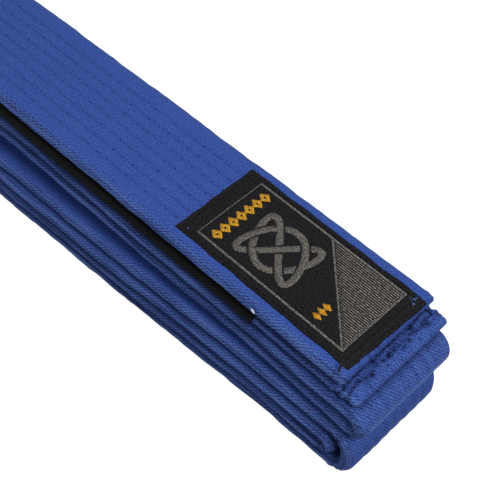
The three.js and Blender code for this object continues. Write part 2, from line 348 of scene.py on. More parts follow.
def section(fine):
    """The belt's outline: rows of (across, up, normal across, normal up, cloth coordinate q, part)."""
    steps = [-1.3, -0.7, 0, 0.7, 1.3, 2.15] if fine else [-0.9, 0, 0.9, 2.15]
    rows = [FIRST_ROW - ROW_SPACING * k for k in range(ROWS + 1)]
    across = sorted({round(y + d, 3) for y in rows for d in steps if abs(y + d) < FLAT_HALF})
    across = np.array(across + list(np.arange(across[-1] + 0.7, FLAT_HALF, 0.9)))
    side = BELT_THICKNESS / 2
    outline = [(y, side, 0, 1, y, FACE) for y in across[::-1]]
    near = edge_arc(25 if fine else 17)
    for reach, up, sideways, upward, length in zip(*near):
        outline.append((-FLAT_HALF - reach, up, -sideways, upward, -FLAT_HALF - length, NEAR_EDGE))
    turned = -2 * FLAT_HALF - EDGE_LENGTH
    outline += [(y, -side, 0, -1, turned - y, FACE) for y in across]
    far = [column[::-1] for column in edge_arc(13)]
    for reach, up, sideways, upward, length in zip(*far):
        q = FLAT_HALF - GIRTH + length
        outline.append((FLAT_HALF + reach, up, sideways, upward, q, FAR_EDGE))
    return np.array(outline)


def edge_weight(ring):
    """0 on the faces, rising to 1 at the middle of the rounded edges."""
    reach = np.abs(ring[:, 0]) - FLAT_HALF
    return smoothstep(reach, 0, EDGE_REACH * 0.8)


def tautness(distance):
    """How plainly the ribs show on the faces: most in the folds and at the bar tip's flap."""
    flap = smoothstep(BELT_LENGTH - distance, 14, 5)
    return TAUT_FOLD * np.maximum(bend_at(distance), TAUT_FLAP * flap)


def stitch_phase(s, row):
    return s / STITCH_PITCH + ROW_LAG * row


def relief(distance, ring):
    """How far the cloth stands out from the plain section, and its colour mark: painted shade in crushed
    hollows (1), or pale (-1) from worn specks and a painted highlight line.
    """
    across, up, part = ring[None, :, 0], ring[None, :, 1], ring[None, :, 5]
    s = cloth_at(distance)[:, None]
    face = part == FACE
    out = LONG_WAVE * wobble2(s, across, 21, 23) + SHORT_WAVE * wobble2(s, across + up, 22, 7)
    for k in range(ROWS):
        row = FIRST_ROW - ROW_SPACING * k
        near = across - row
        between = np.clip((row + ROW_SPACING - across) / ROW_SPACING, 0, 1)
        out = out + face * PUFF * np.sin(math.pi * between) ** 2
        phase = stitch_phase(s, k)
        along = (phase - np.round(phase)) * STITCH_PITCH
        channel = CHANNEL_DEPTH * bell(near, 0.6)
        dimple = DIMPLE_DEPTH * bell(along, 0.8) * bell(near, 0.7)
        out = out - face * (channel + dimple)
    crush = bend_at(distance)[:, None] * edge_weight(ring)[None] * (part == NEAR_EDGE)
    tip = smoothstep(distance, 5, 1)[:, None] * smoothstep(up, 2.4, 1.2)
    fold = wobble2(s, across + 1.6 * up, 35, 4.2)
    out = out + (CRUSH * crush + TIP_CRUSH * tip) * fold
    # A painted highlight line along the upper fold's turn.
    crest = np.interp(TURNED[RUN_SPANS[4][1]] + SHEEN_LINE_TURN, TURNED, PATH_LENGTH)
    lightened = bell(distance - crest, SHEEN_LINE_WIDTH)[:, None] * face
    dark = (CRUSH_SHADE * crush + TIP_SHADE * tip) * np.clip(-fold, 0, 1)
    specks = np.clip(wobble2(s, up + across, 36, 2.2), 0, 1)
    light = (CRUSH_LIGHT * crush + TIP_LIGHT * tip) * specks
    return out, dark - light - SHEEN_LINE * lightened


def crumpled_hem(distance, ring, out, worn):
    """The bar tip's hem: puckered cloth and two stitch rows, with painted shade in the puckers' hollows and
    along the rows.
    """
    gap = (BELT_LENGTH - distance)[:, None]
    q = ring[None, :, 4]
    soft = smoothstep(gap, 1.5, 3.5) * smoothstep(gap, 12, 7)
    pucker = wobble2(distance[:, None], q, 31, 3.4)
    out = out + soft * HEM_PUCKER * pucker
    worn = np.maximum(worn, soft * np.clip(-pucker - 0.05, 0, 1))
    for k, inset in enumerate(HEM_ROWS):
        line = bell(gap - inset - HEM_WANDER * wobble(q, 33 + k, 13), 0.5)
        stitch = 0.5 + 0.5 * np.cos(TAU * q / HEM_PITCH + k)
        out = out - line * (HEM_GROOVE + HEM_STITCH_GROOVE * stitch)
        worn = np.maximum(worn, line * (HEM_SHADE + HEM_STITCH_SHADE * stitch))
    return out, worn


def tip_shape(distance):
    """Scale of the section near the tips: across, on the outer side and on the inner side."""
    label_round = np.sqrt(1 - np.clip(1 - distance / 1.3, 0, 0.985) ** 2)
    bar_round = np.sqrt(1 - np.clip(1 - (BELT_LENGTH - distance) / 1.8, 0, 0.985) ** 2)
    across = 1 - (2 - label_round - bar_round) * 1.3 / (BELT_WIDTH / 2)
    flap = bar_round * (0.78 + 0.22 * smoothstep(BELT_LENGTH - distance, 2, 9))
    pressed = 0.2 + 0.8 * smoothstep(distance, 0, 12)
    return across, label_round * flap, label_round * pressed * flap


# ---- Meshes ----


def new_mesh(name, points, quads, cloth=None, triangles=(), **values):
    """A mesh object in metres from quads and triangles. cloth: (s, q) at each corner of each quad.
    values: named numbers, one for each point."""
    quads = np.asarray(quads, np.int32)
    triangles = np.asarray(triangles, np.int32).reshape(-1, 3)
    mesh = bpy.data.meshes.new(name)
    mesh.vertices.add(len(points))
    mesh.vertices.foreach_set("co", (np.asarray(points, float) * MM).astype(np.float32).ravel())
    mesh.loops.add(quads.size + triangles.size)
    mesh.loops.foreach_set("vertex_index", np.concatenate([quads.ravel(), triangles.ravel()]))
    mesh.polygons.add(len(quads) + len(triangles))
    starts = np.concatenate([np.arange(len(quads)) * 4, quads.size + np.arange(len(triangles)) * 3])
    mesh.polygons.foreach_set("loop_start", starts.astype(np.int32))
    mesh.polygons.foreach_set("use_smooth", np.ones(len(starts), bool))
    if cloth is not None:
        corners = np.vstack([np.reshape(cloth, (-1, 2)), np.zeros((triangles.size, 2))])
        layer = mesh.uv_layers.new(name="cloth")
        layer.data.foreach_set("uv", corners.astype(np.float32).ravel())
    for key, value in values.items():
        attribute = mesh.attributes.new(key, "FLOAT", "POINT")
        attribute.data.foreach_set("value", np.asarray(value, np.float32).ravel())
    mesh.update(calc_edges=True)
    thing = bpy.data.objects.new(name, mesh)
    bpy.context.scene.collection.objects.link(thing)
    return thing


def tube_corners(rings, points_per_ring):
    """The ring number and point number of each corner of a tube's quads."""
    i, j = np.meshgrid(np.arange(rings - 1), np.arange(points_per_ring), indexing="ij")
    ring = np.stack([i, i + 1, i + 1, i], -1).reshape(-1, 4)
    point = np.stack([j, j, j + 1, j + 1], -1).reshape(-1, 4)
    return ring, point


def tube_cloth(s, q, ring, point):
    """Cloth coordinates at a tube's corners, running on past the place where the outline closes."""
    wrapped = np.append(q, q[0] - GIRTH)
    return np.stack([s[ring], wrapped[point]], -1)


def end_caps(rings, count):
    """Triangles from each end ring of a tube to a middle point that follows the tube's points."""
    j = np.arange(count)
    after = (j + 1) % count
    last, middle = (rings - 1) * count, rings * count
    start = np.stack([j, after, np.full(count, middle)], -1)
    end = np.stack([last + after, last + j, np.full(count, middle + 1)], -1)
    return np.vstack([start, end])


def ring_distances(start, end, step):
    count = max(2, int(round((end - start) / step)))
    distance = np.linspace(start, end, count + 1)
    close = np.array([0, 0.08, 0.2, 0.4, 0.7, 1.0, 1.35])
    if start == 0:
        distance = np.concatenate([close, distance[distance > 1.6]])
    if end == BELT_LENGTH:
        distance = np.concatenate([distance[distance < end - 1.6], end - close[::-1]])
    return distance


def belt_piece(name, start, end, step, fine=False):
    """The part of the belt between two distances along it."""
    distance = ring_distances(start, end, step)
    ring = section(fine)
    out, worn = relief(distance, ring)
    if end == BELT_LENGTH:
        out, worn = crumpled_hem(distance, ring, out, worn)
    x, z, shift, nx, nz = centre_at(distance)
    wide, outer, inner = tip_shape(distance)
    tall = np.where(ring[None, :, 1] > 0, outer[:, None], inner[:, None])
    y = (ring[None, :, 0] + ring[None, :, 2] * out) * wide[:, None] + shift[:, None]
    n = (ring[None, :, 1] + ring[None, :, 3] * out) * tall
    slant = TIP_SLANT * (BELT_WIDTH / 2 + y) * smoothstep(distance, 12, 0)[:, None]
    points = np.stack([x[:, None] + nx[:, None] * n - slant, y, z[:, None] + nz[:, None] * n], -1)
    rings, count = points.shape[:2]
    ring_no, point_no = tube_corners(rings, count)
    cloth = tube_cloth(cloth_at(distance), ring[:, 4], ring_no, point_no)
    points = np.vstack([points.reshape(-1, 3), points[0].mean(0), points[-1].mean(0)])
    taut = np.maximum(edge_weight(ring)[None], tautness(distance)[:, None])
    return new_mesh(name, points, ring_no * count + point_no % count, cloth, end_caps(rings, count),
                    worn=np.append(worn, [0, 0]), taut=np.append(taut, [0, 0]))


pieces = {}


def keep(thing, material, slot, *cad_nodes):
    thing.data.materials.append(material)
    if cad_nodes:
        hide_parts(*cad_nodes)
    pieces[thing.name] = thing


# ---- Materials ----


class Graph:
    """The node tree of a material or a world, built from the output back."""

    def __init__(self, owner, shader):
        owner.use_nodes = True
        self.owner = owner
        self.tree = owner.node_tree
        self.shader = self.tree.nodes[shader]

    def node(self, kind, inputs=None, **settings):
        made = self.tree.nodes.new(kind)
        for key, value in settings.items():
            setattr(made, key, value)
        for key, value in (inputs or {}).items():
            self.put(value, made.inputs[key])
        return made

    def put(self, value, socket):
        if isinstance(value, bpy.types.NodeSocket):
            self.tree.links.new(value, socket)
        elif isinstance(value, tuple) and len(value) == 3 and socket.type == "RGBA":
            socket.default_value = (*value, 1)
        else:
            socket.default_value = value

    def math(self, operation, a, b=0.0, c=0.0):
        return self.node("ShaderNodeMath", {0: a, 1: b, 2: c}, operation=operation).outputs[0]

    def scaled(self, value, factor, offset):
        return self.math("MULTIPLY_ADD", value, factor, offset)

    def total(self, first, *others):
        for other in others:
            first = self.math("ADD", first, other)
        return first

    def product(self, first, *others):
        for other in others:
            first = self.math("MULTIPLY", first, other)
        return first

    def wave(self, position):
        """|sin| of half turns: a ridge of height 1 in every unit."""
        return self.math("ABSOLUTE", self.math("SINE", self.math("MULTIPLY", position, math.pi)))

    def bell(self, value, width):
        square = self.math("POWER", self.math("MULTIPLY", self.math("ABSOLUTE", value), 1 / width), 2.0)
        return self.math("EXPONENT", self.math("MULTIPLY", square, -1.0))

    def mix(self, factor, a, b):
        made = self.node("ShaderNodeMix", data_type="RGBA", clamp_factor=True)
        for socket, value in ((0, factor), (6, a), (7, b)):
            self.put(value, made.inputs[socket])
        return made.outputs[2]

    def noise(self, vector, scale, detail=2.0):
        made = self.node("ShaderNodeTexNoise", {"Vector": vector, "Scale": scale, "Detail": detail})
        return made.outputs["Fac"]

    def attribute(self, name):
        return self.node("ShaderNodeAttribute", attribute_name=name).outputs["Fac"]

    def openness(self, distance):
        """1 out in the open, falling to 0 in a crevice narrower than distance, in metres."""
        inputs = {"Distance": distance}
        return self.node("ShaderNodeAmbientOcclusion", inputs, samples=8).outputs["AO"]

    def bump(self, height, distance):
        """A bumped normal. height is in units of distance, in metres."""
        inputs = {"Strength": 1.0, "Distance": distance, "Height": height}
        return self.node("ShaderNodeBump", inputs).outputs[0]

    def cloth(self):
        """The cloth coordinates: both together, s and q."""
        uv = self.node("ShaderNodeUVMap", uv_map="cloth").outputs[0]
        split = self.node("ShaderNodeSeparateXYZ", {0: uv})
        return uv, split.outputs[0], split.outputs[1]

    def finish(self, **inputs):
        for key, value in inputs.items():
            self.put(value, self.shader.inputs[key.replace("_", " ")])
        return self.owner


def material_graph(name):
    material = bpy.data.materials.new(name)
    return Graph(material, "Principled BSDF")


def srgb(red, green, blue):
    """A colour given in 0 to 255 display values."""
    def linear(v):
        v /= 255
        return v / 12.92 if v <= 0.04045 else ((v + 0.055) / 1.055) ** 2.4
    return linear(red), linear(green), linear(blue)


TWILL_LEAN = math.radians(33)
YARN = 0.62
BLUE_TWILL_PITCH = 0.9
BLACK_TWILL_PITCH = 0.8
RIB_MEAN = 0.64
HOLE_ACROSS, HOLE_ALONG = 0.3, 0.4
HOLE_FAINTEST = 0.35
ROW_SHADE, ROW_SHADE_WIDTH = 0.3, 0.7
CORD_BEHIND_GROOVE = 0.4
CREASE_STRETCH = (0.035, 1.05)
# Crevices narrower than this get painted shade.
CREVICE = 4.0


def twill(g, pitch):
    """Height of the twill's ribs, 0 to 1, and the fuzz of its fibres."""
    uv, s, q = g.cloth()
    sin, cos = math.sin(TWILL_LEAN), math.cos(TWILL_LEAN)
    drift = g.product(g.noise(uv, 0.16, 3), 1.1)
    across = g.total(g.product(s, sin / pitch), g.product(q, cos / pitch), drift)
    lag = g.product(g.math("FLOOR", across), 0.37)
    along = g.total(g.product(q, sin / YARN), g.product(s, -cos / YARN), lag)
    rib = g.math("POWER", g.wave(across), 0.7)
    strand = g.scaled(g.wave(along), 0.3, 0.7)
    return g.product(rib, strand), g.noise(uv, 4.0, 3)


def stitch_holes(g):
    """The needle holes of the quilting rows, uneven from hole to hole, in faintly shaded rows: a mask for
    painted shade and for a dip of the bump.
    """
    uv, s, q = g.cloth()
    folded = g.total(g.math("ABSOLUTE", g.total(q, -NEAR_EDGE_MIDDLE)), NEAR_EDGE_MIDDLE)
    place = g.scaled(folded, -1 / ROW_SPACING, FIRST_ROW / ROW_SPACING)
    row = g.math("ROUND", place)
    phase = g.total(g.product(s, 1 / STITCH_PITCH), g.product(row, ROW_LAG))
    stitch = g.math("ROUND", phase)
    both = g.node("ShaderNodeCombineXYZ", {0: row, 1: stitch}).outputs[0]
    chance = g.node("ShaderNodeTexWhiteNoise", {"Vector": both}, noise_dimensions="2D").outputs["Value"]
    in_rows = g.product(g.math("GREATER_THAN", row, -0.5), g.math("LESS_THAN", row, ROWS - 0.5))
    off_row = g.math("SUBTRACT", place, row)
    across = g.bell(off_row, HOLE_ACROSS / ROW_SPACING)
    along = g.bell(g.math("SUBTRACT", phase, stitch), HOLE_ALONG / STITCH_PITCH)
    depth = g.scaled(chance, 1 - HOLE_FAINTEST, HOLE_FAINTEST)
    shade = g.product(g.bell(off_row, ROW_SHADE_WIDTH / ROW_SPACING), g.noise(uv, 0.35, 3), ROW_SHADE)
    return g.product(g.math("MAXIMUM", g.product(across, along, depth), shade), in_rows)


def seam_lines(g):
    """Where the cover closes along the near edge: dotted grooves, painted dark as shade, and the cords
    between them, painted light as a highlight.
    """
    uv, s, q = g.cloth()
    wander = g.scaled(g.noise(uv, 0.05, 2), 1.2, -0.6)
    risen = g.bell(g.total(s, -SEAM_RISE_AT), SEAM_RISE_LENGTH)
    depth = g.total(g.product(q, -1.0), -FLAT_HALF, wander, g.product(risen, SEAM_RISE))
    clear = g.scaled(g.noise(uv, 0.3, 3), 3.0, -1.0)
    clear = g.math("MINIMUM", g.math("MAXIMUM", clear, g.math("MAXIMUM", risen, 0.3)), 1.0)
    grooves, cords = 0.0, 0.0
    for k, place in enumerate(SEAM_PLACES):
        dots = g.math("POWER", g.wave(g.scaled(s, 1 / SEAM_PITCH, 0.31 * k)), 1.5)
        cord_place = place + CORD_BEHIND_GROOVE
        grooves = g.total(g.product(g.bell(g.total(depth, -place), 0.19), dots, clear), grooves)
        cords = g.total(g.product(g.bell(g.total(depth, -cord_place), 0.2), dots, clear), cords)
    return grooves, cords


def painted_crease_shading(g):
    """Long creases that run along the belt, about -1 to 1, only painted: shade in their hollows and light on
    their tops.
    """
    _, s, q = g.cloth()
    along, across = CREASE_STRETCH
    drawn_out = g.node("ShaderNodeCombineXYZ", {0: g.product(s, along), 1: g.product(q, across)})
    return g.scaled(g.noise(drawn_out.outputs[0], 1.0, 2), 5.0, -2.5)


def crevice(g, strength):
    """How much painted shade shows in a crevice: 0 out in the open."""
    return g.product(g.math("SUBTRACT", 1.0, g.openness(CREVICE * MM)), strength)


def positive(g, value):
    return g.math("MAXIMUM", value, 0.0)


def blue_cloth():
    """Dyed twill: soft on the faces, with stronger ribs and creases where it is taut; their light and shade
    are partly painted into the colour.
    """
    g = material_graph("blue twill")
    uv, _, _ = g.cloth()
    rib, fuzz = twill(g, BLUE_TWILL_PITCH)
    taut, worn, hole = g.attribute("taut"), g.attribute("worn"), stitch_holes(g)
    groove, cord = seam_lines(g)
    crease_light_and_shade = g.product(painted_crease_shading(g), g.math("POWER", taut, 2.0))

    # Painted shade in the hollows between ribs and painted light on their tops, stronger where taut, with
    # the yarns' random grain and fuzz.
    grain = g.scaled(g.noise(uv, 1.9, 4), 3.4, -1.7)
    rib_light_and_shade = g.product(g.total(rib, -RIB_MEAN), g.scaled(taut, 0.5, 0.5))
    tone = g.total(rib_light_and_shade, g.product(fuzz, 0.6), g.product(grain, 0.85), 0.3)
    face = g.mix(tone, srgb(31, 50, 122), srgb(66, 97, 180))
    side = g.mix(tone, srgb(4, 14, 62), srgb(92, 122, 202))
    colour = g.mix(g.scaled(taut, 0.9, 0.05), face, side)
    colour = g.mix(g.product(g.noise(uv, 0.05, 4), 0.3), colour, srgb(66, 94, 168))

    # Painted shade: in the creases, the needle holes and along the stitch rows, the seam grooves, and the
    # hollows of crushed and puckered cloth and of the hem's stitch rows.
    colour = g.mix(g.product(crease_light_and_shade, -0.75), colour, srgb(12, 24, 76))
    colour = g.mix(g.product(hole, 0.95), colour, srgb(6, 16, 84))
    colour = g.mix(g.math("MAXIMUM", g.product(groove, 0.85), worn), colour, srgb(10, 17, 54))

    # Painted light: a painted sheen where the cloth is seen edge on, painted highlights on the cords and
    # crease tops, the painted highlight line of the upper fold, and pale worn specks.
    facing = g.node("ShaderNodeLayerWeight", {"Blend": 0.5}).outputs["Facing"]
    rim = positive(g, g.scaled(facing, 2.4, -1.65))
    painted_crease_highlights, lightened = positive(g, g.product(crease_light_and_shade, 0.5)), positive(g, g.product(worn, -1.0))
    light = g.total(g.product(cord, 0.45), rim, painted_crease_highlights, lightened)
    colour = g.mix(light, colour, srgb(100, 128, 196))
    # Painted shade in crevices, strongest where the cloth is taut.
    shaded = g.product(crevice(g, g.scaled(taut, 0.9, 0.1)), 1.8)
    colour = g.mix(shaded, colour, srgb(7, 11, 40))

    height = g.total(g.product(rib, g.scaled(taut, 0.12, 0.05)), g.product(fuzz, 0.08),
                     g.product(hole, -0.25), g.product(groove, -0.25), g.product(cord, 0.1))
    return g.finish(Base_Color=colour, Roughness=0.9, Normal=g.bump(height, MM), Specular_IOR_Level=0.1,
                    Sheen_Weight=0.06, Sheen_Roughness=0.4, Sheen_Tint=srgb(150, 170, 215))


def black_cloth():
    g = material_graph("black twill")
    rib, fuzz = twill(g, BLACK_TWILL_PITCH)
    tone = g.total(g.product(rib, 0.7), g.product(fuzz, 0.4))
    colour = g.mix(tone, srgb(6, 6, 8), srgb(31, 30, 32))
    # Painted shade in crevices.
    colour = g.mix(crevice(g, 1.5), colour, srgb(3, 2, 2))
    height = g.total(g.product(rib, 0.12), g.product(fuzz, 0.08))
    return g.finish(Base_Color=colour, Roughness=0.9, Normal=g.bump(height, MM), Specular_IOR_Level=0.08,
                    Sheen_Weight=0.02, Sheen_Roughness=0.5)


def thread_finish(name, dark, light):
    """Twisted thread: fine slanting strands."""
    g = material_graph(name)
    place = g.node("ShaderNodeTexCoord").outputs["Object"]
    strands = g.node("ShaderNodeTexWave", {"Vector": place, "Scale": 900.0, "Distortion": 2.0},
                     bands_direction="DIAGONAL").outputs["Fac"]
    return g.finish(Base_Color=g.mix(strands, dark, light), Roughness=0.7, Normal=g.bump(strands, 0.04 * MM),
                    Specular_IOR_Level=0.15, Sheen_Weight=0.05)


def damask(name, dark, light):
    """Satin threads of a woven label: picks along it, crossed by finer ends."""
    g = material_graph(name)
    uv, s, q = g.cloth()
    picks = g.wave(g.product(q, 1 / LABEL_PICK))
    row = g.math("FLOOR", g.product(q, 1 / LABEL_PICK))
    ends = g.wave(g.total(g.product(s, 1 / 0.4), g.product(row, 0.4)))
    height = g.product(g.math("POWER", picks, 0.6), g.scaled(ends, 0.5, 0.5))
    tone = g.total(g.product(height, 0.6), g.scaled(g.noise(uv, 1.7, 4), 3.6, -1.7))
    return g.finish(Base_Color=g.mix(tone, dark, light), Roughness=0.62, Normal=g.bump(height, 0.06 * MM),
                    Specular_IOR_Level=0.15, Sheen_Weight=0.03, Sheen_Roughness=0.4)


BLUE = blue_cloth()
BLACK = black_cloth()
BLACK_THREAD = thread_finish("black thread", srgb(14, 14, 17), srgb(40, 40, 46))
BLUE_THREAD = thread_finish("blue thread", srgb(34, 54, 124), srgb(62, 90, 168))
LABEL_GROUND = damask("label ground", srgb(1, 1, 2), srgb(37, 35, 39))
LABEL_GREY = damask("label grey", srgb(66, 64, 61), srgb(142, 138, 132))
LABEL_PALE = damask("label pale grey", srgb(90, 87, 83), srgb(182, 177, 170))
LABEL_YELLOW = damask("label yellow", srgb(186, 124, 20), srgb(252, 194, 58))
LINT = thread_finish("lint", srgb(150, 165, 205), srgb(225, 230, 240))
WISPS = thread_finish("wisps", srgb(58, 82, 160), srgb(120, 142, 200))

# ---- Pieces of the belt ----

HIDDEN_CUT_X = -110.0
MIDDLE_CUT_X = 0.0
FOLD_STEP = 0.75


def cover_and_core(*stretches):
    """The CAD nodes that a run of cloth stands for."""
    return [f"{stretch}_{part}" for stretch in stretches for part in ("cover", "core_ply_a", "core_ply_b")]


def build_belt():
    cut = {layer: distance_at(layer, HIDDEN_CUT_X) for layer in range(8)}
    middle = distance_at(7, MIDDLE_CUT_X)
    runs = [
        ("label_end_cloth", 0, middle, 0.42, ["label_end"]),
        ("middle_cloth", middle, cut[7], 0.55, ["middle", "label_run"]),
        ("outermost_left_turn", cut[7], cut[0], FOLD_STEP, []),
        ("lower_outer_fold_cloth", cut[0], cut[3], FOLD_STEP, ["lower_outer_fold"]),
        ("innermost_left_turn", cut[3], cut[4], FOLD_STEP, []),
        ("upper_fold_cloth", cut[4], cut[5], FOLD_STEP, ["upper_fold"]),
        ("second_left_turn", cut[5], cut[2], FOLD_STEP, []),
        ("lower_inner_fold_cloth", cut[2], cut[1], FOLD_STEP, ["lower_inner_fold"]),
        ("third_left_turn", cut[1], cut[6], FOLD_STEP, []),
        ("bar_end_cloth", cut[6], BELT_LENGTH, 0.5, ["bar_end", "bar_run"]),
    ]
    for name, start, end, step, stretches in runs:
        cloth = belt_piece(name, start, end, step, step < FOLD_STEP)
        keep(cloth, BLUE, "cover_twill", *cover_and_core(*stretches))


build_belt()

# ---- Threads ----

THREAD_SIDES = 6


def tubes(name, paths, radii, normals):
    """Closed tubes along paths of points. normals: for each path, a direction that it never runs along."""
    paths, radii = np.asarray(paths, float), np.asarray(radii, float)
    along = np.gradient(paths, axis=1)
    side = np.cross(along, np.asarray(normals, float)[:, None])
    side /= np.linalg.norm(side, axis=2)[..., None]
    up = np.cross(side, along)
    up /= np.linalg.norm(up, axis=2)[..., None]
    a = np.arange(THREAD_SIDES) * TAU / THREAD_SIDES
    around = side[:, :, None] * np.cos(a)[:, None] + up[:, :, None] * np.sin(a)[:, None]
    points = paths[:, :, None] + around * radii[None, :, None, None]
    tube_count, rings = paths.shape[:2]
    ring_no, point_no = tube_corners(rings, THREAD_SIDES)
    quads = ring_no * THREAD_SIDES + point_no % THREAD_SIDES
    caps = end_caps(rings, THREAD_SIDES)
    size = rings * THREAD_SIDES + 2
    ends = np.stack([paths[:, 0], paths[:, -1]], 1)
    points = np.concatenate([points.reshape(tube_count, -1, 3), ends], 1)
    offsets = np.arange(tube_count)[:, None, None] * size
    return new_mesh(name, points.reshape(-1, 3), (quads + offsets).reshape(-1, 4),
                    triangles=(caps + offsets).reshape(-1, 3))


def stitches(name, starts, ends, normals, radius, rise, dip):
    """Short stitches whose ends sink into the cloth."""
    starts, ends, normals = (np.asarray(v, float) for v in (starts, ends, normals))
    place = np.array([0, 0.12, 0.35, 0.65, 0.88, 1])
    arch = np.sin(math.pi * place)
    lift = rise * arch - dip * (1 - arch)
    paths = starts[:, None] + (ends - starts)[:, None] * place[:, None] + normals[:, None] * lift[:, None]
    return tubes(name, paths, radius * (0.25 + 0.75 * np.sqrt(arch)), normals)


def upward(count):
    return np.tile([0.0, 0.0, 1.0], (count, 1))


# ---- Rank bar ----


def rank_bar():
    """A closed sleeve round the bar end: its outer skin, then its inner skin back again."""
    start, end = distance_at(6, SLEEVE_TO_X), distance_at(6, SLEEVE_FROM_X)
    distance = np.linspace(start, end, int((end - start) / 0.7))
    ring = section(False)
    across, up = ring[None, :, 0], ring[None, :, 1]
    x, z, shift, nx, nz = centre_at(distance)
    swell = 0.07 * wobble2(distance[:, None], across, 61, 17)
    swell = swell + 0.05 * wobble2(distance[:, None], across + up, 62, 6)
    lean = smoothstep(distance, end - 9, end)[:, None] * SLEEVE_SLANT * up
    skins = []
    for stand_off in (SLEEVE_OUTER, SLEEVE_INNER):
        out = stand_off + swell
        y = across + ring[None, :, 2] * out + shift[:, None]
        n = up + ring[None, :, 3] * out
        skins.append(np.stack([x[:, None] + nx[:, None] * n + lean, y, z[:, None] + nz[:, None] * n], -1))
    rings, count = skins[0].shape[:2]
    points = np.concatenate([skins[0], skins[1][::-1]])
    along = np.concatenate([distance, distance[::-1], distance[:1]])
    ring_no, point_no = tube_corners(2 * rings + 1, count)
    quads = (ring_no % (2 * rings)) * count + point_no % count
    taut = np.tile(edge_weight(ring), (2 * rings, 1))
    sleeve = new_mesh("rank_bar_cloth", points.reshape(-1, 3), quads,
                      tube_cloth(along, ring[:, 4], ring_no, point_no), taut=taut)
    keep(sleeve, BLACK, "rank_bar_twill", "rank_bar_sleeve")


def on_layer(layer, x, y, height):
    """Points above the middle surface of a layer, in the layer's own sideways place."""
    distance = np.array([distance_at(layer, v) for v in x])
    px, pz, shift, nx, nz = centre_at(distance)
    sign = np.where(nz > 0, height, -height)
    return np.stack([px + sign * nx, y + shift, pz + sign * nz], -1)


def cross_stitches(name, layer, x, height, length, gap, radius, waver=0.0, seed=0):
    """A row of stitches across the belt."""
    half = FLAT_HALF - 1.0
    first = np.arange(-half, half - length, length + gap)
    starts = on_layer(layer, x + waver * wobble(first, seed, 13), first, height)
    last = first + length
    ends = on_layer(layer, x + waver * wobble(last, seed, 13), last, height)
    return stitches(name, starts, ends, upward(len(first)), radius, 0.1, 0.15)


def rank_bar_stitches():
    top = BELT_THICKNESS / 2 + SLEEVE_OUTER
    for end, x, inward in (("left", SLEEVE_TO_X, 1), ("right", SLEEVE_FROM_X, -1)):
        for k, inset in enumerate((2.5, 5.5), 1):
            row = cross_stitches(f"rank_bar_{end}_stitches_{k}", 6, x + inward * inset, top, 2.2, 0.5, 0.24)
            keep(row, BLACK_THREAD, "black_thread", f"rank_bar_{end}_stitch_row_{k}")


def bar_tip_stitches():
    top = BELT_THICKNESS / 2 - 0.55
    for k, inset in enumerate(HEM_ROWS, 1):
        name, x = f"bar_tip_stitches_{k}", BAR_TIP_X - inset
        row = cross_stitches(name, 6, x, top, 1.7, 0.7, 0.2, HEM_WANDER, 32 + k)
        keep(row, BLUE_THREAD, "blue_thread", f"bar_tip_hem_stitch_row_{k}")


def bar_fleck():
    """A bit of pale lint where the sleeve's end comes out from under the top layer."""
    path = [(142.2, -19.8, 48.6), (142.8, -19.9, 48.6), (143.5, -20.0, 48.5), (144.0, -20.1, 48.3)]
    keep(tubes("rank_bar_lint", [path], [0.28, 0.42, 0.38, 0.2], [(0, 0, 1)]), LINT, "blue_thread")


rank_bar()
rank_bar_stitches()
bar_tip_stitches()
bar_fleck()

# ---- Quilting thread on the top layer ----


def quilting_stitches(name, from_x, to_x, *cad_nodes):
    """The thread between the stitch holes of the top layer, nearly sunk in the cloth."""
    low, high = cloth_at(distance_at(7, from_x)), cloth_at(distance_at(7, to_x))
    spans = []
    for k in range(ROWS + 1):
        first = math.ceil(stitch_phase(low, k))
        last = math.floor(stitch_phase(high, k))
        holes = (np.arange(first, last + 1) - ROW_LAG * k) * STITCH_PITCH
        y = FIRST_ROW - ROW_SPACING * k
        spans += [(hole + 0.45, hole + STITCH_PITCH - 0.45, y) for hole in holes[:-1]]
    start, end, y = np.array(spans).T
    height = BELT_THICKNESS / 2 - CHANNEL_DEPTH - 0.07

    def place(cloth):
        x, z, shift, nx, nz = centre_at(np.interp(cloth, CLOTH_LENGTH, PATH_LENGTH))
        return np.stack([x + nx * height, y + shift, z + nz * height], -1)

    row = stitches(name, place(start), place(end), upward(len(y)), 0.12, 0.02, 0.15)
    keep(row, BLUE_THREAD, "blue_thread", *cad_nodes)


quilting_stitches("label_end_quilting", 172, 57, "label_end_quilting_thread")
quilting_stitches("middle_quilting", 57, -61, "middle_quilting_thread")
quilting_stitches("label_run_quilting", -63, -150, "label_run_quilting_thread")

# ---- Label ----


def label_puckers(u, v):
    """1 on the label's stitch lines, 0 away from them."""
    u0, u1, v0, v1 = *LABEL_U, *LABEL_V
    inset = np.minimum.reduce([u - u0, u1 - u, v - v0, v1 - v])
    pulled = 0.6 + 0.4 * np.cos(TAU * (u + v) / 2.5)
    return (bell(inset - 1.3, 0.4) + bell(u - (u1 - 3.1), 0.4)) * pulled


def on_label(u, v, height):
    """Points of the label: u along the belt, v across it, height above its face."""
    past_frame = np.clip((u - FRAME_U) / (LABEL_U[1] - FRAME_U), 0, 1)
    x = LABEL_X + u + LABEL_SKEW * past_frame * (v - LABEL_V[0]) / (LABEL_V[1] - LABEL_V[0])
    droop = 0.5 * smoothstep(u, LABEL_U[1] - 3, LABEL_U[1] + 1)
    z = layer_z(7, x) + LABEL_LIFT + LABEL_THICKNESS + height - droop
    z = z + 0.08 * wobble2(u, v, 41, 21) - 0.28 * label_puckers(u, v)
    return np.stack([x, LABEL_Y + v, z], -1)


def label_stations(low, high):
    """Places across the label, closer together near its edges."""
    rim = np.array([0, 0.15, 0.35])
    return np.concatenate([low + rim, np.arange(low + 0.6, high - 0.5, 0.4), high - rim[::-1]])


def grid_quads(index, flip=False):
    corner = [index[:-1, :-1], index[1:, :-1], index[1:, 1:], index[:-1, 1:]]
    return np.stack(corner[::-1] if flip else corner, -1).reshape(-1, 4)


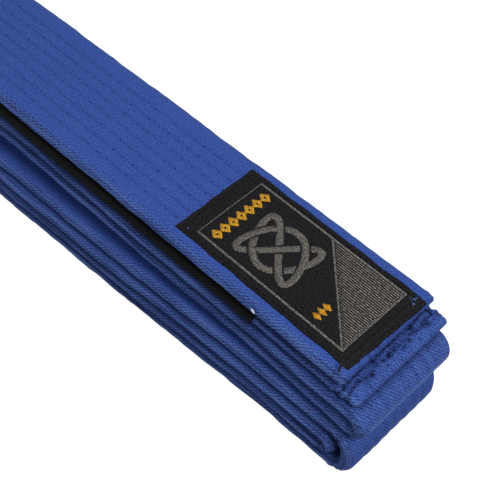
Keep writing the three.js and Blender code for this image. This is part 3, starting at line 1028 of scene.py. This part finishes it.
def label_ground():
    u0, u1, v0, v1 = *LABEL_U, *LABEL_V
    u, v = np.meshgrid(label_stations(u0, u1), label_stations(v0, v1), indexing="ij")
    from_u, from_v = np.minimum(u - u0, u1 - u), np.minimum(v - v0, v1 - v)
    inset = np.clip(np.minimum(from_u, from_v) / 0.5, 0, 1)
    fall = LABEL_THICKNESS * 0.6 * (1 - np.sqrt(1 - (1 - inset) ** 2))
    ragged_u = (0.14 * wobble(v, 43, 11) + 0.04 * wobble(v, 45, 2.5)) * smoothstep(from_u, 3, 0)
    ragged_v = (0.25 * wobble(u, 44, 14) + 0.06 * wobble(u, 46, 2.5)) * smoothstep(from_v, 3, 0)
    top = on_label(u + ragged_u, v + ragged_v, -fall)
    bottom = top - [0, 0, LABEL_THICKNESS * 0.9]
    index = np.arange(u.size).reshape(u.shape)
    border = np.concatenate([index[:, 0], index[-1, 1:], index[-2::-1, -1], index[0, -2:0:-1]])
    after = np.roll(border, -1)
    walls = np.stack([border, border + u.size, after + u.size, after], -1)
    quads = np.vstack([grid_quads(index), grid_quads(index + u.size, True), walls])
    points = np.concatenate([top.reshape(-1, 3), bottom.reshape(-1, 3)])
    cloth = np.tile(np.stack([u, v], -1).reshape(-1, 2), (2, 1))[quads]
    keep(new_mesh("label_ground", points, quads, cloth), LABEL_GROUND, "label_damask", "woven_label")


def knot_shows(u, v):
    """Whether the knot, a closed plait of three strands by two, is on top at points of the label."""
    a = np.linspace(0, TAU, 900, endpoint=False)
    knot_u = KNOT_CENTRE[0] + KNOT_SIZE[0] * np.sin(2 * a)
    knot_v = KNOT_CENTRE[1] + KNOT_SIZE[1] * np.sin(3 * a)
    passing = np.cos(7 * a + KNOT_PHASE)
    gap = np.hypot(u[:, None] - knot_u, v[:, None] - knot_v)
    near = gap < KNOT_STROKE / 2 + 0.55
    top = np.where(near, passing, -9).argmax(1)
    apart = np.abs(np.arange(len(a))[None] - top[:, None])
    same_strand = np.minimum(apart, len(a) - apart) < 60
    return near.any(1) & (np.where(same_strand, gap, 99).min(1) < KNOT_STROKE / 2)


def label_figure(u, v):
    """The thread on top at points of the label."""
    figure = np.full(len(u), GROUND)
    line = FRAME_LINE / 2
    inside = (u > 0) & (u < FRAME_U) & (v > 0) & (v < FRAME_V)
    border = np.minimum.reduce([np.abs(u), np.abs(u - FRAME_U), np.abs(v), np.abs(v - FRAME_V)])
    framed = (u > -line) & (u < FRAME_U + line) & (v > -line) & (v < FRAME_V + line)
    run, rise = FRAME_U - DIAGONAL_U, FRAME_V
    past = ((u - DIAGONAL_U) * rise - (FRAME_V - v) * run) / math.hypot(run, rise)
    pick = np.round(v / LABEL_PICK).astype(int)
    figure[inside & (past > HATCH_GAP) & (pick % 2 == 0)] = HATCH
    figure[inside & (np.abs(past) < DIAGONAL_LINE / 2)] = LINE
    figure[framed & (border < line)] = LINE
    second_pick = (np.abs(v - LABEL_PICK) < line) | (np.abs(v - FRAME_V + LABEL_PICK) < line)
    figure[inside & second_pick] = LINE
    figure[knot_shows(u, v)] = GREY
    for k in range(LOZENGES):
        from_u, from_v = np.abs(u - LOZENGE_U), np.abs(v - LOZENGE_V - k * LOZENGE_PITCH)
        size = from_u / LOZENGE_REACH[0] + from_v / LOZENGE_REACH[1]
        figure[(size < 1) & (size > LOZENGE_HOLE)] = YELLOW
    for k in range(PIPS):
        size = np.abs(u - PIP_U) / PIP_REACH + np.abs(v - PIP_V - PIP_PITCH * k)
        figure[size < 1] = YELLOW
    return figure


# Outline of one raised pick: across it, in shares of its width, and height.
PICK_OUTLINE = [(-0.5, -0.08), (-0.42, 0.04), (0, 0.09), (0.42, 0.04), (0.5, -0.08)]


def pick_bars(name, widths, material):
    """Raised threads: a low rounded bar for each run of a pick that shows. widths: for each kind of
    figure, the bar's width as a share of the pick."""
    step = 0.15
    u = np.arange(-1, FRAME_U + 1, step)
    points, quads, triangles = [], [], []
    count = len(PICK_OUTLINE)
    for pick in range(-1, int(FRAME_V / LABEL_PICK) + 2):
        v = pick * LABEL_PICK
        figure = label_figure(u, np.full(len(u), v))
        for kind, width in widths.items():
            changes = np.diff(np.concatenate([[0], (figure == kind).astype(int), [0]]))
            for start, end in np.flatnonzero(changes).reshape(-1, 2):
                low, high = u[start] - step / 2, u[end - 1] + step / 2
                stations = np.linspace(low, high, max(2, int((high - low) / 3) + 2))
                ring, point = tube_corners(len(stations), count)
                quads.append(len(points) + ring * count + point % count)
                last = len(points) + (len(stations) - 1) * count
                fan = np.array([(0, k, k + 1) for k in range(1, count - 1)])
                triangles += [len(points) + fan, last + fan[:, ::-1]]
                points += [(place, v + across * LABEL_PICK * width, height)
                           for place in stations for across, height in PICK_OUTLINE]
    flat, quads = np.array(points), np.vstack(quads)
    placed = on_label(flat[:, 0], flat[:, 1], flat[:, 2])
    bars = new_mesh(name, placed, quads, flat[quads][..., :2], np.vstack(triangles))
    keep(bars, material, "label_damask")


def label_stitches():
    """A line of black stitches round the border and a second row at the tip."""
    u0, u1, v0, v1 = LABEL_U[0] + 1.3, LABEL_U[1] - 1.3, LABEL_V[0] + 1.3, LABEL_V[1] - 1.3
    corners = np.array([(u0, v0), (u1, v0), (u1, v1), (u0, v1)])
    second = np.array([(u1 - 1.8, v0), (u1 - 1.8, v1)])
    lines = [(corners[i], corners[(i + 1) % 4]) for i in range(4)] + [tuple(second)]
    starts, ends = [], []
    for a, b in lines:
        count = int(np.linalg.norm(b - a) / 2.5)
        starts += [a + (b - a) * (k + 0.12) / count for k in range(count)]
        ends += [a + (b - a) * (k + 0.88) / count for k in range(count)]
    starts, ends = (on_label(*np.transpose(v), 0.1) for v in (starts, ends))
    row = stitches("label_stitches", starts, ends, upward(len(starts)), 0.25, 0.2, 0.1)
    keep(row, BLACK_THREAD, "black_thread", "label_stitching")


def label_loose_threads():
    """A thread tail at the near corner of the tip, and wisps of fibre at two corners."""
    tail = [(173.4, -15.6, 51.2), (173.7, -16.6, 51.2), (174.1, -17.5, 50.8), (174.3, -18.3, 50.1),
            (174.6, -18.7, 49.4)]
    keep(tubes("label_thread_tail", [tail], [0.22, 0.34, 0.38, 0.34, 0.15], [(1, 0, 0)]),
         BLACK_THREAD, "black_thread")
    rng = np.random.default_rng(8)
    wisps = []
    for u, v, spread, count in ((60.2, 27.2, 0.7, 9), (61.2, 25.6, 0.5, 5), (-2.8, -1.4, 0.15, 2)):
        for _ in range(count):
            centre = np.array([u, v]) + rng.normal(0, spread, 2) * 0.55
            turn = rng.uniform(0, TAU)
            reach = np.array([math.cos(turn), math.sin(turn)]) * rng.uniform(0.25, 0.55)
            curl = np.array([-reach[1], reach[0]]) * rng.uniform(-0.6, 0.6)
            t = np.linspace(-0.5, 0.5, 5)[:, None]
            flat = centre + reach * t * 2 + curl * (0.25 - t ** 2) * 4
            wisps.append(on_label(flat[:, 0], flat[:, 1], 0.25 + 0.25 * (0.25 - t[:, 0] ** 2) * 4))
    fibres = tubes("label_wisps", wisps, [0.03, 0.07, 0.08, 0.07, 0.03], upward(len(wisps)))
    keep(fibres, WISPS, "blue_thread")


label_ground()
pick_bars("label_grey_figure", {GREY: 0.94}, LABEL_GREY)
pick_bars("label_pale_figure", {HATCH: 0.7, LINE: 0.62}, LABEL_PALE)
pick_bars("label_yellow_figure", {YELLOW: 0.94}, LABEL_YELLOW)
label_stitches()
label_loose_threads()

# ---- Bodies ----


def point(x, z):
    return (x * MM, 0, z * MM)


LABEL_LIFTS = ("bar_end", "label_end", point(56, 50), point(100, 50))
BAR_LIFTS_TOP = ("upper_half", "bar_end", point(-62, 50), point(-14, 50))
BAR_LIFTS = ("upper_half", "bar_end", point(-62, 45), point(-14, 45))


def big_fold(half):
    """A bend between the halves, over a height of `half` below and above the hinge."""
    low, high = point(BIG_FOLD_X, BIG_FOLD_Z - half), point(BIG_FOLD_X, BIG_FOLD_Z + half)
    return ("lower_half", "upper_half", low, high)


BENDS = {
    "outermost_left_turn": big_fold(24),
    "third_left_turn": big_fold(18.3),
    "second_left_turn": big_fold(12.5),
    "innermost_left_turn": big_fold(6.8),
    "middle_cloth": BAR_LIFTS_TOP,
    "middle_quilting": BAR_LIFTS_TOP,
    "bar_end_cloth": BAR_LIFTS,
    "label_end_cloth": LABEL_LIFTS,
    "label_end_quilting": LABEL_LIFTS,
}


def body_of(name):
    """The body a stiff piece rides on."""
    if name.startswith("lower_"):
        return "lower_half"
    if name in ("upper_fold_cloth", "label_run_quilting"):
        return "upper_half"
    return "label_end" if name.startswith("label_") else "bar_end"


for name, piece in pieces.items():
    if name in BENDS:
        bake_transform(piece)
    else:
        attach(piece, body_of(name))

# ---- Stage ----

CAMERA_AT = Vector((267.1, -133.2, 280.9)) * MM
CAMERA_FORWARD = Vector((-0.4676, 0.4275, -0.7737))
CAMERA_UP = Vector((-0.5367, 0.5582, 0.6328))
CAMERA_LENS = 73.0
SKY = 0.6
SKY_AT_HORIZON = 0.3
FLOOR_SEEN = 0.95
FLOOR_BOUNCE = 0.05
FLOOR_SIZE = 4.0
FLOOR_DROP = 0.0004
SOFTBOX_AT = Vector((0.68, -0.1, 0.94))
SOFTBOX_AIM = Vector((0.1, 0, 0.03))
SOFTBOX_SIZE = 0.35
SOFTBOX_POWER = 6.4


def add_camera(scene):
    camera = bpy.data.objects.new("camera", bpy.data.cameras.new("camera"))
    scene.collection.objects.link(camera)
    camera.data.sensor_width = 36
    camera.data.lens = CAMERA_LENS
    camera.data.clip_start = 0.01
    right = CAMERA_FORWARD.cross(CAMERA_UP).normalized()
    aim = Matrix((right, right.cross(CAMERA_FORWARD), -CAMERA_FORWARD)).transposed().to_4x4()
    camera.matrix_world = Matrix.Translation(CAMERA_AT) @ aim
    scene.camera = camera


def add_floor(scene):
    """A plain floor: near white to the camera, dim to everything else."""
    mesh = bpy.data.meshes.new("floor")
    corners = [(x * FLOOR_SIZE, y * FLOOR_SIZE, 0) for x, y in ((-1, -1), (1, -1), (1, 1), (-1, 1))]
    mesh.from_pydata(corners, [], [(0, 1, 2, 3)])
    floor = bpy.data.objects.new("floor", mesh)
    scene.collection.objects.link(floor)
    floor.location.z = -FLOOR_DROP
    g = material_graph("floor")
    seen = g.node("ShaderNodeLightPath").outputs["Is Camera Ray"]
    glow = g.scaled(seen, FLOOR_SEEN - FLOOR_BOUNCE, FLOOR_BOUNCE)
    mesh.materials.append(g.finish(Base_Color=(0.3, 0.3, 0.3), Roughness=1.0, Specular_IOR_Level=0.0,
                                   Emission_Color=(1, 1, 1), Emission_Strength=glow))


def add_sky(scene):
    """A soft sky, brightest overhead; plain white where the camera sees it."""
    scene.world = bpy.data.worlds.new("studio")
    g = Graph(scene.world, "Background")
    direction = g.node("ShaderNodeTexCoord").outputs["Generated"]
    up = g.math("MAXIMUM", g.node("ShaderNodeSeparateXYZ", {0: direction}).outputs[2], 0.0)
    soft = g.scaled(up, SKY * (1 - SKY_AT_HORIZON), SKY * SKY_AT_HORIZON)
    seen = g.node("ShaderNodeLightPath").outputs["Is Camera Ray"]
    g.finish(Color=(1, 1, 1), Strength=g.math("MAXIMUM", soft, seen))


def add_softbox(scene):
    data = bpy.data.lights.new("softbox", "AREA")
    data.shape = "DISK"
    data.size = SOFTBOX_SIZE
    data.energy = SOFTBOX_POWER
    light = bpy.data.objects.new("softbox", data)
    scene.collection.objects.link(light)
    light.location = SOFTBOX_AT
    light.rotation_mode = "QUATERNION"
    light.rotation_quaternion = (SOFTBOX_AIM - SOFTBOX_AT).to_track_quat("-Z", "Y")


studio = bpy.context.scene
studio.view_settings.view_transform = "Standard"
add_camera(studio)
add_floor(studio)
add_sky(studio)
add_softbox(studio)
